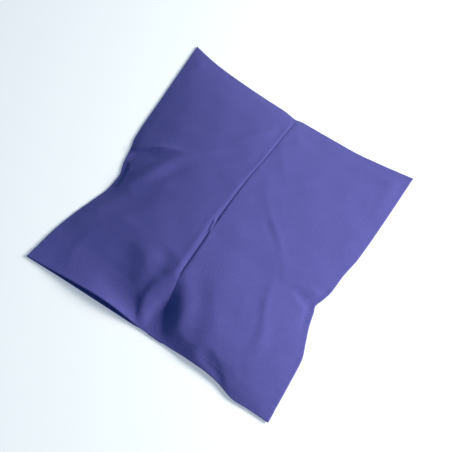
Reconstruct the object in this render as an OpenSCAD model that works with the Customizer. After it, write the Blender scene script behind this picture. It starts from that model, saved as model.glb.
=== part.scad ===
// Seed-filled eye pillow in an open-ended slip cover, split at its fold line into two halves.
// Frame: millimetres, +Z up, origin on the resting plane under the middle of the pillow.
// +Y runs along the centre seam, away from the cover's mouth, and -X is the half that folds over.

/* [Cover] */
// Width of the cover across both halves
cover_w = 220; // [180:1:260]
// Length of the cover from its mouth to its far seam
cover_l = 230; // [190:1:270]
// Height that the fill adds at its fullest
crown = 13.5; // [11:0.5:20]
// Height that the pouch's edge lifts the cover by, close to the cover's outline
shoulder = 2.4; // [2:0.2:3]
// Depth of the groove along the centre seam
groove = 2.5; // [1:0.5:3]
// How squarely the left half holds its height: low is one long slope, high is a plateau
left_hold = 2.4; // [2:0.2:6]
// How squarely the right half holds its height
right_hold = 4.6; // [2:0.2:6]
// Thickness of the cover's cloth
cloth = 0.6; // [0.5:0.05:0.8]
// Width of the turned hem at the mouth
hem = 9; // [6:0.5:12]
// Width of the centre seam's allowance, pressed back against the inside of the cover
allowance = 6; // [4:0.5:8]

/* [Outline] */
// How far the left side is pulled in at the waist
waist_left = 17; // [8:1:20]
// How far the right side is pulled in at the waist
waist_right = 14; // [8:1:20]
// Where the waist is along the seam
waist_y = -27; // [-35:1:0]
// Length over which the waist is pulled in
waist_l = 42; // [35:1:50]
// How far the far seam is drawn in at its middle
far_dip = 9; // [4:0.5:11]
// How far the mouth is drawn in at its middle
mouth_dip = 5; // [2:0.5:8]
// How far the left half of the mouth gapes
gape_left = 10; // [9:0.5:12]
// How far the right half of the mouth gapes
gape_right = 8.5; // [8:0.5:12]

/* [Inner pouch] */
// Gap between the cover's outline and the pouch
pouch_inset = 10; // [9:0.5:12]
// Thickness of the pouch's cloth
pouch_cloth = 0.5; // [0.4:0.05:0.6]
// Share of the cover's inner height that the pouch takes up
pouch_share = 0.8; // [0.6:0.05:0.85]
// Share of the pouch's inner height that the seeds take up
seed_share = 0.7; // [0.5:0.05:0.72]
// Lavender buds in each half
bud_count = 36; // [12:1:48]

/* [Stitches] */
// Diameter of the sewing thread
thread_d = 0.5; // [0.4:0.05:0.6]
// Length of one stitch
stitch = 2.8; // [2:0.1:3]
// Distance from one stitch to the next
pitch = 3.6; // [3.5:0.1:5]

/* [Hidden] */
LEFT = -1;
RIGHT = 1;
PURPLE = [0.36, 0.35, 0.64];
PURPLE_THREAD = [0.30, 0.29, 0.56];
NATURAL = [0.87, 0.83, 0.74];
NATURAL_THREAD = [0.95, 0.93, 0.88];
FLAX = [0.45, 0.28, 0.15];
LAVENDER = [0.42, 0.36, 0.55];

fold_gap = 0.4;                            // half the slit between the two rigid halves
edge_step = 0.08;                          // run of the step from a thick edge to plain cloth
groove_w = 5;                              // half width of the groove along the centre seam
hem_t = 3 * cloth;                         // a hem is three layers of cloth
allowance_t = 2 * cloth;                   // the front is doubled along its centre seam
seam_inset = 3.5;                          // seams run this far inside the outline
side_stop = 0.86;                          // share of the half length where the side seams' stitches stop
thread_lift = thread_d / 2 + 0.05;         // thread centre above the cloth it lies on
pouch_floor = cloth + 0.2;                 // underside of the pouch
pouch_base = pouch_floor + pouch_cloth;    // inside of the pouch's lower cloth
pouch_rim = pouch_base + pouch_cloth;      // outside of the pouch's upper cloth where its edge is sewn
pouch_slack = allowance_t + 0.4;           // height that the front's doubled cloth needs above the pouch
pouch_seam = 2.5;                          // the pouch's stitches from its own edge
pouch_stitch_gap = 0.35;                   // gap between those stitches and the sloping cloth under them
seed_inset = 6;                            // the seeds stop this far inside the pouch
seed_edge = 0.2;                           // thickness that the seeds run out to
seed_corner = 0.1;                         // share that the corners of the seeds are rounded off by
seed_base = pouch_base + 0.2;
seed_clear = 0.4;                          // and stay this far under the pouch's upper cloth
bud_d = 1.5;
bud_l = 3.2;
bud_lift = 0.3;                            // gap between a bud and the seeds under it
GOLDEN = 137.508;
ACROSS = 14;                               // grid cells across one half of the cover
ALONG = 26;                                // grid cells along it

// ---- the pillow's form, as functions of place ----

function waist(side) = side == LEFT ? waist_left : waist_right;
function gape(side) = side == LEFT ? gape_left : gape_right;
// Distance from the fold line to the side of the cover
function side_x(side, y) = cover_w / 2 - waist(side) * exp(-pow((y - waist_y) / waist_l, 2));
// Distance from the middle to the far seam or to the mouth, at share s of the half width
function half_l(s, y) = cover_l / 2 - (y > 0 ? far_dip : mouth_dip) * (1 - s * s);
// How full the pillow is at share t of its half length
function fullness(t) = (1 - pow(abs(t), 3)) * (1 - 0.2 * t);
// Section of one half of the cover, from the fold line at 0 to its side at 1
function lobe(side, s) = 1 - pow(s, side == LEFT ? left_hold : right_hold);
function groove_at(s) = groove * exp(-pow(s * cover_w / 2 / groove_w, 2));
// Rise of the mouth's edge
function mouth_rise(side, s, t) = t > -0.5 ? 0 : gape(side) * sin(180 * s) * pow(sin(180 * (-t - 0.5)), 2);
// How far a layer that is sewn in at its edge has risen at shares s and t
function rim(s, t) = (1 - pow(s, 14)) * (1 - pow(abs(t), 14));
// Outer face of the cover's front above a point of the plan
function cover_top(side, s, t) =
    2 * cloth + shoulder * rim(s, t) + fullness(t) * (crown * lobe(side, s) - groove_at(s))
    + mouth_rise(side, s, t);

// A place of the plan from shares s and t, drawn in from the cover's outline by an inset
function plan_y(s, t, inset) = t * (half_l(s, t) - inset);
function plan_x(side, s, y, inset) = fold_gap + s * (side_x(side, y) - inset - fold_gap);
function plan(side, s, t, inset = 0) =
    let (y = plan_y(s, t, inset))
    [side * plan_x(side, s, y, inset), y];

// The share across that a place of the plan has in a layer drawn in by an inset, and the share along
function share_across(side, p, inset) =
    min(1, (abs(p.x) - fold_gap) / (side_x(side, p.y) - inset - fold_gap));
function share_along(side, p, inset) =
    max(-1, min(1, p.y / (half_l(share_across(side, p, inset), p.y) - inset)));
function cover_top_at(side, p) = cover_top(side, share_across(side, p, 0), share_along(side, p, 0));
function pouch_top_at(side, p) =
    let (room = cover_top_at(side, p) - pouch_rim - pouch_slack)
    pouch_rim + pouch_share * max(0, room)
        * rim(share_across(side, p, pouch_inset), share_along(side, p, pouch_inset));
function seed_top_at(side, p) =
    let (
        inset = pouch_inset + seed_inset,
        room = pouch_top_at(side, p) - pouch_cloth - seed_base - seed_clear)
    seed_base + seed_edge + seed_share * max(0, room - seed_edge)
        * rim(share_across(side, p, inset), share_along(side, p, inset));

// ---- solids ----

function cosine_steps(n) = [for (i = [0 : n]) (1 - cos(180 * i / n)) / 2];

// A closed solid between an upper and a lower grid of points, both given as rows
module sheet(upper, lower) {
    rows = len(upper);
    cols = len(upper[0]);
    half = rows * cols;
    points = concat([for (row = upper) each row], [for (row = lower) each row]);
    function at(r, c, layer) = r * cols + c + layer * half;
    function quad(a, b, c, d) = [[a, b, c], [a, c, d]];
    faces = [
        for (r = [0 : rows - 2], c = [0 : cols - 2]) each quad(
            at(r, c, 0), at(r + 1, c, 0), at(r + 1, c + 1, 0), at(r, c + 1, 0)),
        for (r = [0 : rows - 2], c = [0 : cols - 2]) each quad(
            at(r, c, 1), at(r, c + 1, 1), at(r + 1, c + 1, 1), at(r + 1, c, 1)),
        for (r = [0 : rows - 2]) each quad(at(r, 0, 0), at(r, 0, 1), at(r + 1, 0, 1), at(r + 1, 0, 0)),
        for (r = [0 : rows - 2]) each quad(
            at(r, cols - 1, 0), at(r + 1, cols - 1, 0), at(r + 1, cols - 1, 1), at(r, cols - 1, 1)),
        for (c = [0 : cols - 2]) each quad(at(0, c, 0), at(0, c + 1, 0), at(0, c + 1, 1), at(0, c, 1)),
        for (c = [0 : cols - 2]) each quad(
            at(rows - 1, c, 0), at(rows - 1, c, 1), at(rows - 1, c + 1, 1), at(rows - 1, c + 1, 0))
    ];
    polyhedron(points = points, faces = faces, convexity = 6);
}

// The same solid on either half: the left one is the right one's grid read the other way round
module half_sheet(side, upper, lower) {
    function turned(rows) = [for (row = rows) [for (i = [len(row) - 1 : -1 : 0]) row[i]]];
    if (side == RIGHT) sheet(upper, lower);
    else sheet(turned(upper), turned(lower));
}

// The flat outline of one half, drawn in by an inset
module half_outline(side, inset = 0) {
    n = 24;
    far_side = [for (i = [0 : n / 2]) plan(side, i * 2 / n, 1, inset)];
    outer_side = [for (i = [1 : n - 1]) plan(side, 1, 1 - 2 * i / n, inset)];
    mouth_side = [for (i = [n / 2 : -1 : 0]) plan(side, i * 2 / n, -1, inset)];
    polygon(concat(far_side, outer_side, mouth_side));
}

// One stitch from point a to point b
module stitch_between(a, b) {
    run = b - a;
    translate(a)
        rotate([0, acos(run.z / norm(run)), atan2(run.y, run.x)])
            cylinder(d = thread_d, h = norm(run), $fn = 24);
}

// A row of stitches along a path given as points, one stitch to each step of the path
module stitch_row(path) {
    for (i = [0 : len(path) - 2]) {
        step = path[i + 1] - path[i];
        stitch_between(path[i], path[i] + step * stitch / norm(step));
    }
}

function shares(from, to, length) =
    let (n = floor(length * abs(to - from) / pitch))
    [for (i = [0 : n]) from + (to - from) * i / n];

// ---- the cover ----

module front_panel(side) {
    // A pair of close columns ends the doubled allowance, and a pair of close rows ends the hem.
    allowance_s = allowance / (cover_w / 2);
    hem_share = 1 - 2 * hem / cover_l;
    near_seam = [for (i = [0 : 3]) allowance_s * i / 3];
    columns = concat(near_seam, [allowance_s + edge_step / cover_w],
        [for (s = cosine_steps(ACROSS)) if (s > 1.3 * allowance_s) s]);
    inner_rows = [for (v = cosine_steps(ALONG)) if (2 * v - 1 > -hem_share + 0.01) 2 * v - 1];
    rows = concat([-1, -(1 + hem_share) / 2, -hem_share, -hem_share + 2 * edge_step / cover_l], inner_rows);
    function depth(s, t) = t <= -hem_share ? hem_t : s <= allowance_s ? allowance_t : cloth;
    function upper(s, t) = concat(plan(side, s, t), cover_top(side, s, t));
    // Cloth is measured down from the outer face, and stops on whatever it rests on.
    function rests(s, t) = cloth + mouth_rise(side, s, t);
    function lower(s, t) = concat(plan(side, s, t), max(
        min(rests(s, t), cover_top(side, s, t) - cloth),
        cover_top(side, s, t) - depth(s, t)));
    color(PURPLE)
        half_sheet(side, [for (t = rows) [for (s = columns) upper(s, t)]],
            [for (t = rows) [for (s = columns) lower(s, t)]]);
}

module back_panel(side) {
    color(PURPLE) linear_extrude(cloth) half_outline(side);
}

module centre_seam_thread() {
    depth = cloth / 2 + thread_d / 2;
    reach = 1 - 2 * hem / cover_l;
    color(PURPLE_THREAD)
        stitch_row([for (t = shares(-reach, reach, cover_l / 2))
            [0, plan_y(0, t, 0), cover_top(RIGHT, 0, t) - depth]]);
}

module side_seam_thread(side) {
    color(PURPLE_THREAD)
        stitch_row([for (t = shares(-side_stop, side_stop, cover_l / 2))
            concat(plan(side, 1, t, seam_inset), cloth + thread_lift)]);
}

module far_seam_thread(side) {
    color(PURPLE_THREAD)
        stitch_row([for (s = shares(0.03, 0.88, cover_w / 2))
            concat(plan(side, s, 1, seam_inset), cloth + thread_lift)]);
}

module front_hem_thread(side) {
    t = -1 + 2 * (hem - 1) / cover_l;
    color(PURPLE_THREAD)
        stitch_row([for (s = shares(0.03, 0.93, cover_w / 2))
            concat(plan(side, s, t), cover_top(side, s, t) + thread_d / 4)]);
}

module back_hem_thread(side) {
    color(PURPLE_THREAD)
        stitch_row([for (s = shares(0.03, 0.9, cover_w / 2))
            concat(plan(side, s, -1, hem - 1), cloth + thread_lift)]);
}

// ---- the inner pouch and its fill ----

module pouch_top(side) {
    steps = cosine_steps(14);
    rows = [for (v = cosine_steps(22)) 2 * v - 1];
    function level(s, t, drop) =
        let (p = plan(side, s, t, pouch_inset))
        concat(p, pouch_top_at(side, p) - drop);
    color(NATURAL)
        half_sheet(side, [for (t = rows) [for (s = steps) level(s, t, 0)]],
            [for (t = rows) [for (s = steps) level(s, t, pouch_cloth)]]);
}

module pouch_bottom(side) {
    color(NATURAL)
        translate([0, 0, pouch_floor]) linear_extrude(pouch_cloth) half_outline(side, pouch_inset);
}

module pouch_edge_thread(side) {
    inset = pouch_inset + pouch_seam;
    function on_top(s, t) =
        let (p = plan(side, s, t, inset))
        concat(p, pouch_top_at(side, p) + thread_lift + pouch_stitch_gap);
    color(NATURAL_THREAD) {
        stitch_row([for (t = shares(-0.8, 0.8, cover_l / 2 - inset)) on_top(1, t)]);
        for (end = [-1, 1])
            stitch_row([for (s = shares(0.2, 0.8, cover_w / 2 - inset)) on_top(s, end)]);
    }
}

module flaxseed(side) {
    steps = cosine_steps(14);
    rows = [for (v = cosine_steps(22)) 2 * v - 1];
    // The shares are drawn in towards the corners, which rounds them.
    function place(s, t) =
        plan(side, s * (1 - seed_corner * pow(t, 6)), t * (1 - seed_corner * pow(s, 6)),
            pouch_inset + seed_inset);
    function upper(s, t) =
        let (p = place(s, t))
        concat(p, seed_top_at(side, p));
    function lower(s, t) = concat(place(s, t), seed_base);
    color(FLAX)
        half_sheet(side, [for (t = rows) [for (s = steps) upper(s, t)]],
            [for (t = rows) [for (s = steps) lower(s, t)]]);
}

module bud() {
    straight = bud_l - bud_d;
    rotate([0, 90, 0]) rotate_extrude($fn = 24) union() {
        translate([0, -straight / 2]) square([bud_d / 2, straight]);
        for (end = [-1, 1]) translate([0, end * straight / 2])
            intersection() {
                circle(d = bud_d, $fn = 24);
                translate([0, -bud_d]) square([bud_d, 2 * bud_d]);
            }
    }
}

// Buds lie on the fullest part of the seeds, spread evenly by turning each one a golden angle on.
module lavender_buds(side) {
    color(LAVENDER)
        for (i = [0 : bud_count - 1]) {
            reach = sqrt((i + 0.5) / bud_count);
            s = 0.32 + 0.22 * reach * cos(i * GOLDEN);
            t = -0.12 + 0.42 * reach * sin(i * GOLDEN);
            p = plan(side, s, t, pouch_inset + seed_inset);
            translate(concat(p, seed_top_at(side, p) + bud_d / 2 + bud_lift))
                rotate(i * GOLDEN / 2) bud();
        }
}

front_panel(LEFT);  // front_panel_left
front_panel(RIGHT);  // front_panel_right
back_panel(LEFT);  // back_panel_left
back_panel(RIGHT);  // back_panel_right
centre_seam_thread();
side_seam_thread(LEFT);  // side_seam_thread_left
side_seam_thread(RIGHT);  // side_seam_thread_right
far_seam_thread(LEFT);  // far_seam_thread_left
far_seam_thread(RIGHT);  // far_seam_thread_right
front_hem_thread(LEFT);  // front_hem_thread_left
front_hem_thread(RIGHT);  // front_hem_thread_right
back_hem_thread(LEFT);  // back_hem_thread_left
back_hem_thread(RIGHT);  // back_hem_thread_right
pouch_top(LEFT);  // pouch_top_left
pouch_top(RIGHT);  // pouch_top_right
pouch_bottom(LEFT);  // pouch_bottom_left
pouch_bottom(RIGHT);  // pouch_bottom_right
pouch_edge_thread(LEFT);  // pouch_edge_thread_left
pouch_edge_thread(RIGHT);  // pouch_edge_thread_right
flaxseed(LEFT);  // flaxseed_left
flaxseed(RIGHT);  // flaxseed_right
lavender_buds(LEFT);  // lavender_buds_left
lavender_buds(RIGHT);  // lavender_buds_right
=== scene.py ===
"""Looks of the eye pillow: a violet-blue cotton slip cover over a seed-filled muslin pouch.

Lengths are in millimetres until a mesh is made, in the frame of the CAD model: +Z up, +Y along the
centre seam away from the mouth, and the origin on the resting plane under the middle of the pillow.
"""

import math

import bpy
import numpy as np
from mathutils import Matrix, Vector


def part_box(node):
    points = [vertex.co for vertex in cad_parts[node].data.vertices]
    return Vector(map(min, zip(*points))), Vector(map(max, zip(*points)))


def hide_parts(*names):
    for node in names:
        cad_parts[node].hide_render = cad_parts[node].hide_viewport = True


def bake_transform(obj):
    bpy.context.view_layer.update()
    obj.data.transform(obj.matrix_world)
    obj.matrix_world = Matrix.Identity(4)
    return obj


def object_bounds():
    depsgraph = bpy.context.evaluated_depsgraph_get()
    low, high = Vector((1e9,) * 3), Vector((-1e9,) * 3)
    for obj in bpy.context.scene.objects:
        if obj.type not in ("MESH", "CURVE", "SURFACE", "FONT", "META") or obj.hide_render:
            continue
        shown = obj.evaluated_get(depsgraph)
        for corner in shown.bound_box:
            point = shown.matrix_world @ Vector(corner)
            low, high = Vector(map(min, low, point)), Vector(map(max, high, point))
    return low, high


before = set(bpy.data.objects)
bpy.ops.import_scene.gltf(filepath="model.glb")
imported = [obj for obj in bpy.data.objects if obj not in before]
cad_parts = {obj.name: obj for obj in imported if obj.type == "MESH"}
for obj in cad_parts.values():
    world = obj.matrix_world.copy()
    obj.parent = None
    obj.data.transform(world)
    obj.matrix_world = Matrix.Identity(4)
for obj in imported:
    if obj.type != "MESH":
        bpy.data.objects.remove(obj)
cad_low, cad_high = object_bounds()

MM = 0.001
LEFT, RIGHT = -1, 1
SIDES = (LEFT, RIGHT)
NAMES = {LEFT: "left", RIGHT: "right"}

# ---- driving sizes ----

CLOTH = 0.42            # thickness of the cover's cloth
MUSLIN = 0.35           # thickness of the pouch's cloth
HEM = 9.0               # width of the turned hem at the mouth
HALF_LENGTH = cad_high.y / MM
EDGE_Z = 1.15           # height of the seamed edge's upper face above the floor
CROWN = max(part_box("front_panel_" + name)[1].z for name in NAMES.values()) / MM - EDGE_Z
HOLD = {LEFT: 2.3, RIGHT: 1.4}  # low is one long slope to the side, high is a plateau
SHOULDER = {LEFT: 1.7, RIGHT: 1.2}  # height that the pouch's edge lifts the cover by, near its outline
THREAD = 0.42           # diameter of the sewing thread
STITCH, PITCH = 2.6, 3.2  # length of a stitch, and from one to the next
POUCH_INSET = 11.0      # the pouch's edge stops this far inside the cover's outline
POUCH_SEAM = 4.0        # and its stitches this far inside its own edge
POUCH_SHARE = 0.82      # share of the cover's inner height that the pouch takes up
SEED_INSET = 6.5        # the seeds stop this far inside the pouch's edge
SEED_SHARE = 0.74       # share of the pouch's inner height that the seeds take up
SEED_CORNER = 0.1       # share that the corners of the seeds are rounded off by
SEED_SUNK = 0.55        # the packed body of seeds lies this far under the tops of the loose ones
SLACK = 1.9             # the pouch stays this far under the cover
FLAT_STACK = 3.05       # height of the front where it is pressed flat on the empty pouch and the back
BUDS = 36               # lavender buds in each half
GOLDEN = math.radians(137.508)
FOLD_HALF = 9.5         # the cloth turns over this far on each side of the fold line
BACK_REST = 0.12        # least height of the back panel above the floor


# ---- curves through a few chosen points ----

def cubic(u, run, low, high, low_slope, high_slope):
    """Value at share u of a run between two values with the given slopes."""
    return ((2 * u**3 - 3 * u**2 + 1) * low + (u**3 - 2 * u**2 + u) * run * low_slope
            + (3 * u**2 - 2 * u**3) * high + (u**3 - u**2) * run * high_slope)


def curve(points):
    """A smooth function through (place, value) points, level beyond the first and the last."""
    places, values = np.array(sorted(points), float).T
    steps = np.diff(places)
    slopes = np.diff(values) / steps
    # Fritsch-Carlson tangents keep the curve from overshooting between its points.
    tangents = np.zeros(len(places))
    for i in range(1, len(places) - 1):
        if slopes[i - 1] * slopes[i] > 0:
            a, b = steps[i] + 2 * steps[i - 1], 2 * steps[i] + steps[i - 1]
            tangents[i] = 3 * (steps[i - 1] + steps[i]) / (b / slopes[i - 1] + a / slopes[i])
    tangents[0], tangents[-1] = slopes[0], slopes[-1]

    def at(x):
        x = np.clip(np.asarray(x, float), places[0], places[-1])
        i = np.clip(np.searchsorted(places, x) - 1, 0, len(steps) - 1)
        u = (x - places[i]) / steps[i]
        return cubic(u, steps[i], values[i], values[i + 1], tangents[i], tangents[i + 1])
    return at


def smooth(low, high, x):
    t = np.clip((np.asarray(x, float) - low) / (high - low), 0, 1)
    return t * t * (3 - 2 * t)


def peak(distance, width):
    """1 where distance is 0, dying away over about width."""
    return np.exp(-((distance / width) ** 2))


def unit(vectors):
    return vectors / np.maximum(np.linalg.norm(vectors, axis=-1, keepdims=True), 1e-9)


def xyz(x, y, z):
    return np.stack(np.broadcast_arrays(x, y, z), axis=-1)


# ---- the outline in plan ----

# Distance of each side from the middle, along the pillow: the waist is where the fill pulls it in.
SIDE_X = {
    LEFT: curve([(118.5, 110.5), (60, 106.4), (15, 102.8), (8, 100.6), (-8, 97.0), (-20, 93.2),
                 (-31, 93.5), (-48, 98.0), (-64, 103.0), (-86, 108.0), (-114.5, 111.5)]),
    RIGHT: curve([(112.5, 108.0), (60, 106.8), (28, 105.3), (8, 102.4), (-6, 101.6), (-16, 99.2),
                  (-23, 97.0), (-28, 98.6), (-38, 101.0), (-52, 106.0), (-64, 110.0), (-82, 111.4),
                  (-115.5, 113.2)]),
}
# The far seam, from the left corner to the right one. It is drawn in most where the centre seam ends.
FAR_Y = curve([(-110.5, 118.5), (-98, 115.4), (-82, 112.3), (-60, 109.9), (-35, 108.0), (-12, 106.8),
               (0, 105.0), (5, 106.0), (30, 106.2), (54, 106.4), (78, 108.6), (108, 112.6)])
# The hem at the mouth, and how high the front's hem stands above the floor along it.
MOUTH_Y = curve([(-111.5, -114.4), (-80, -113.2), (-40, -112.2), (0, -111.4), (50, -111.2),
                 (66, -112.6), (84, -116.4), (98, -115.6), (113.2, -115.4)])
MOUTH_Z = curve([(-111.5, 2.0), (-96, 3.2), (-82, 4.9), (-66, 6.9), (-52, 8.4), (-40, 8.8), (-29, 7.8),
                 (-17, 5.2), (-7, 2.9), (0, 2.3), (20, 2.2), (32, 2.8), (44, 4.4), (56, 4.0), (70, 2.8),
                 (88, 2.3), (113, 2.0)])
# The centre seam wanders a little, and is pulled to the right where it reaches the mouth.
SEAM_X = curve([(106, 0.9), (62, 0.8), (30, -1.2), (0, -1.5), (-32, -0.8), (-64, 0.0), (-75, 1.9),
                (-90, 2.9), (-98, 2.5), (-105, 4.5), (-112, 11.0)])


def outline_x(side, y, inset):
    return side * (SIDE_X[side](y) - inset)


def ends_y(x, inset):
    """The outline at the mouth and at the far seam, drawn in by inset."""
    return MOUTH_Y(x) + inset, FAR_Y(x) - inset


def plan(side, s, t, inset=0.0):
    """Place of share s from the centre seam to a side, and of share t from the mouth (-1) to the far
    seam (1), in a layer that is drawn in from the cover's outline by inset."""
    t = np.asarray(t, float)
    y = HALF_LENGTH * t
    for _ in range(5):
        x = SEAM_X(y) + s * (outline_x(side, y, inset) - SEAM_X(y))
        low, high = ends_y(x, inset)
        y = low + (high - low) * (t + 1) / 2
    return x, y


def whole_plan(u, t, inset=0.0):
    """The same over both halves, where u runs from the left side (-1) to the right one (1)."""
    places = [plan(side, np.abs(u), t, inset) for side in SIDES]
    return [np.where(u < 0, left, right) for left, right in zip(*places)]


def shares(side, x, y, inset=0.0):
    """The other way round: the shares s and t of a place."""
    s = (x - SEAM_X(y)) / (outline_x(side, y, inset) - SEAM_X(y))
    low, high = ends_y(x, inset)
    t = 2 * (y - low) / (high - low) - 1
    return np.clip(s, 0, 1), np.clip(t, -1, 1)


# ---- folds, each along a line of a few points ----

def along(path, x, y):
    """Distance from the line through path, the nearest share of it, and the side of it (1 is left)."""
    path = np.array(path, float)
    lengths = np.linalg.norm(np.diff(path, axis=0), axis=1)
    starts = np.concatenate([[0], np.cumsum(lengths)])
    best = np.full(np.shape(x), 1e9)
    share, hand = np.zeros(np.shape(x)), np.ones(np.shape(x))
    for i, (a, b) in enumerate(zip(path[:-1], path[1:])):
        run = b - a
        u = ((x - a[0]) * run[0] + (y - a[1]) * run[1]) / (run @ run)
        v = np.clip(u, 0, 1)
        dx, dy = x - a[0] - v * run[0], y - a[1] - v * run[1]
        distance = np.hypot(dx, dy)
        nearer = distance < best
        best = np.where(nearer, distance, best)
        share = np.where(nearer, (starts[i] + v * lengths[i]) / starts[-1], share)
        hand = np.where(nearer, np.sign(run[0] * dy - run[1] * dx), hand)
    return best, share, hand


def fold(x, y, path, height, left, right, rise=0.3, fall=0.3, crisp=False):
    """Height of a ridge along path, or of a valley where height is negative. left and right are its
    half widths seen along the path, and rise and fall are the shares of the path over which it starts
    and dies away. A crisp one has a pointed section."""
    distance, share, hand = along(path, x, y)
    reach = np.clip(distance / np.where(hand > 0, left, right), 0, 1)
    section = (1 - reach) ** 1.8 if crisp else (1 - reach**2) ** 2
    strength = smooth(0, max(rise, 1e-3), share) * smooth(0, max(fall, 1e-3), 1 - share)
    return height * section * strength


def rail(*points):
    """A line down the pillow from (y, x, height) points: its place across and its height, at any y."""
    return curve([(y, x) for y, x, _ in points]), curve([(y, h) for y, _, h in points])


# The folds that gather where the centre seam meets the mouth, as ridges and valleys from left to
# right. Each height is above the plain crown.
GATHER = [
    rail((-50, -78, 0), (-75, -82, 0), (-90, -84, 0), (-112, -76, 0)),
    rail((-50, -53, 0), (-60, -50, -0.8), (-68, -45.5, -1.5), (-75, -40, -1.8), (-83, -33, -1.8),
         (-90, -27, -1.5), (-98, -20.5, -1.1), (-105, -15.5, -0.6), (-111, -12.5, 0)),
    rail((-50, -30, 0), (-60, -28, 0.0), (-68, -27.5, -0.2), (-75, -27, -0.4), (-83, -24.8, -0.3),
         (-90, -21.5, -0.3), (-98, -17.8, -0.5), (-105, -13.8, -0.3), (-111, -11.5, 0)),
    rail((-50, -19, 0), (-60, -16, -1.0), (-68, -16, -0.6), (-75, -17.8, 0.3), (-83, -18.4, 0.9),
         (-90, -18, 1.0), (-98, -15.5, 0.4), (-105, -12.5, 0.0), (-111, -10.5, 0)),
    rail((-50, -4, 0), (-60, -1.8, 1.2), (-68, -3.6, 1.6), (-75, -8, 2.3), (-83, -12.0, 3.0),
         (-90, -13.4, 3.1), (-98, -12.8, 2.0), (-105, -11.2, 0.7), (-111, -9.5, 0)),
    rail((-50, 0, 0), (-60, 0.3, 1.2), (-66, 0.6, 0.9), (-70, 1.2, 0.4), (-75, 1.9, -0.5),
         (-83, 2.8, -2.0), (-90, 2.9, -2.6), (-98, 2.5, -2.7), (-105, 4.5, -2.0), (-112, 10, -0.4)),
    rail((-50, 4, 0), (-60, 3.6, 1.0), (-66, 5, 1.1), (-75, 8.5, 0.9), (-83, 12, 1.1),
         (-90, 15.5, 1.2), (-98, 22, 0.8), (-105, 33, 0.2), (-112, 40, 0)),
    rail((-50, 18, 0), (-60, 19, -0.6), (-70, 24, -0.9), (-80, 29, -0.7), (-92, 35, -0.2),
         (-104, 44, 0)),
    rail((-44, 32, 0), (-60, 32, 0), (-75, 42, 0), (-92, 54, 0), (-112, 60, 0)),
]
CREASE = 5              # the one that folds sharply, along the centre seam
CREASE_STEEP = (2.3, 1.0)   # slopes beside the crease, as shares of the mean slopes to its neighbours


def gather(x, y):
    places = np.array([place(y) for place, _ in GATHER])
    heights = np.array([height(y) for _, height in GATHER])
    runs = np.diff(places, axis=0)
    slopes = np.diff(heights, axis=0) / runs
    into = np.zeros(places.shape)
    into[1:-1] = (slopes[:-1] * runs[1:] + slopes[1:] * runs[:-1]) / (runs[1:] + runs[:-1])
    out = into.copy()
    into[CREASE] = slopes[CREASE - 1] * CREASE_STEEP[0]
    out[CREASE] = slopes[CREASE] * CREASE_STEEP[1]
    z = np.zeros(np.shape(x))
    for i in range(len(runs)):
        u = (x - places[i]) / runs[i]
        bent = cubic(u, runs[i], heights[i], heights[i + 1], out[i], into[i + 1])
        z = np.where((u >= 0) & (u < 1), bent, z)
    return z


# The creases and hollows that run in from the waist on both sides, and a few faint dents. Each has the
# path, height, half widths, rise and fall that fold() takes.
SIDE_FOLDS = [
    # The sharp crease above the left waist, and the hollows and the ridge below it.
    ([(-104, 2), (-98, 5), (-88, 11), (-77, 17), (-66, 21.5), (-46, 27)], 2.0, 7, 4.5, 0.12, 0.6, True),
    ([(-100, -2), (-92, 3), (-82, 9), (-70, 14), (-56, 18)], -1.6, 7, 8, 0.1, 0.6),
    ([(-99, -4), (-94, -10), (-91, -24), (-93, -34)], -2.2, 5, 7, 0.3, 0.4),
    ([(-92, -30), (-80, -21), (-66, 0), (-52, 24), (-44, 40)], 1.3, 11, 10, 0.25, 0.5),
    ([(-70, -20), (-58, 2), (-44, 26)], -0.9, 9, 10, 0.4, 0.5),
    ([(-84, -58), (-72, -42), (-60, -26), (-48, -8)], -1.0, 11, 11, 0.35, 0.45),
    # The notch of the right waist.
    ([(103, -3), (98, -16), (94, -25), (97, -34), (104, -50)], -0.9, 10, 6, 0.2, 0.3),
    ([(100, -24), (88, -25), (74, -20)], -1.3, 6, 6, 0.05, 0.7),
    ([(102, -14), (90, -15), (80, -12)], 0.7, 5, 5, 0.05, 0.7),
    # Faint dents in the right half.
    ([(52, -22), (56, -44), (66, -66)], -0.3, 9, 9, 0.4, 0.4),
    ([(24, 16), (38, 4), (52, -4)], -0.2, 5, 5, 0.4, 0.4),
    ([(70, -40), (76, -64), (80, -88)], 0.5, 9, 9, 0.4, 0.4),
    # The fill drops steeply to the hem on the right, where the hem is drawn in.
    ([(42, -98), (52, -104), (60, -109), (68, -115)], -1.3, 9, 8, 0.35, 0.1),
    ([(60, -90), (69, -101), (75, -114)], 0.6, 11, 9, 0.4, 0.2),
]


EDGE_W, EDGE_L = 105.0, 108.0    # turn shares into rough distances from the seamed edges


def undulation(x, y):
    """The slight unevenness of cloth that lies on loose seeds."""
    waves = [(31, 0.4, 0.0, 0.09), (23, 1.3, 2.1, 0.06), (17, 2.5, 0.8, 0.035), (41, 2.0, 4.0, 0.12)]
    z = 0
    for length, heading, phase, height in waves:
        across = x * math.cos(heading) + y * math.sin(heading)
        beside = y * math.cos(heading) - x * math.sin(heading)
        bent = 1.3 * np.sin(beside / 19 + phase)
        z = z + height * np.sin(2 * math.pi * across / length + phase + bent)
    return z


def stitched_waves(x, y):
    """The waviness that stitches pull into the side seams, and into the far seam."""
    return np.sin(y / 1.35 + 1.6 * np.sin(y / 7.7)), np.sin(x / 1.4 + 1.7 * np.sin(x / 8.3))


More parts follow.
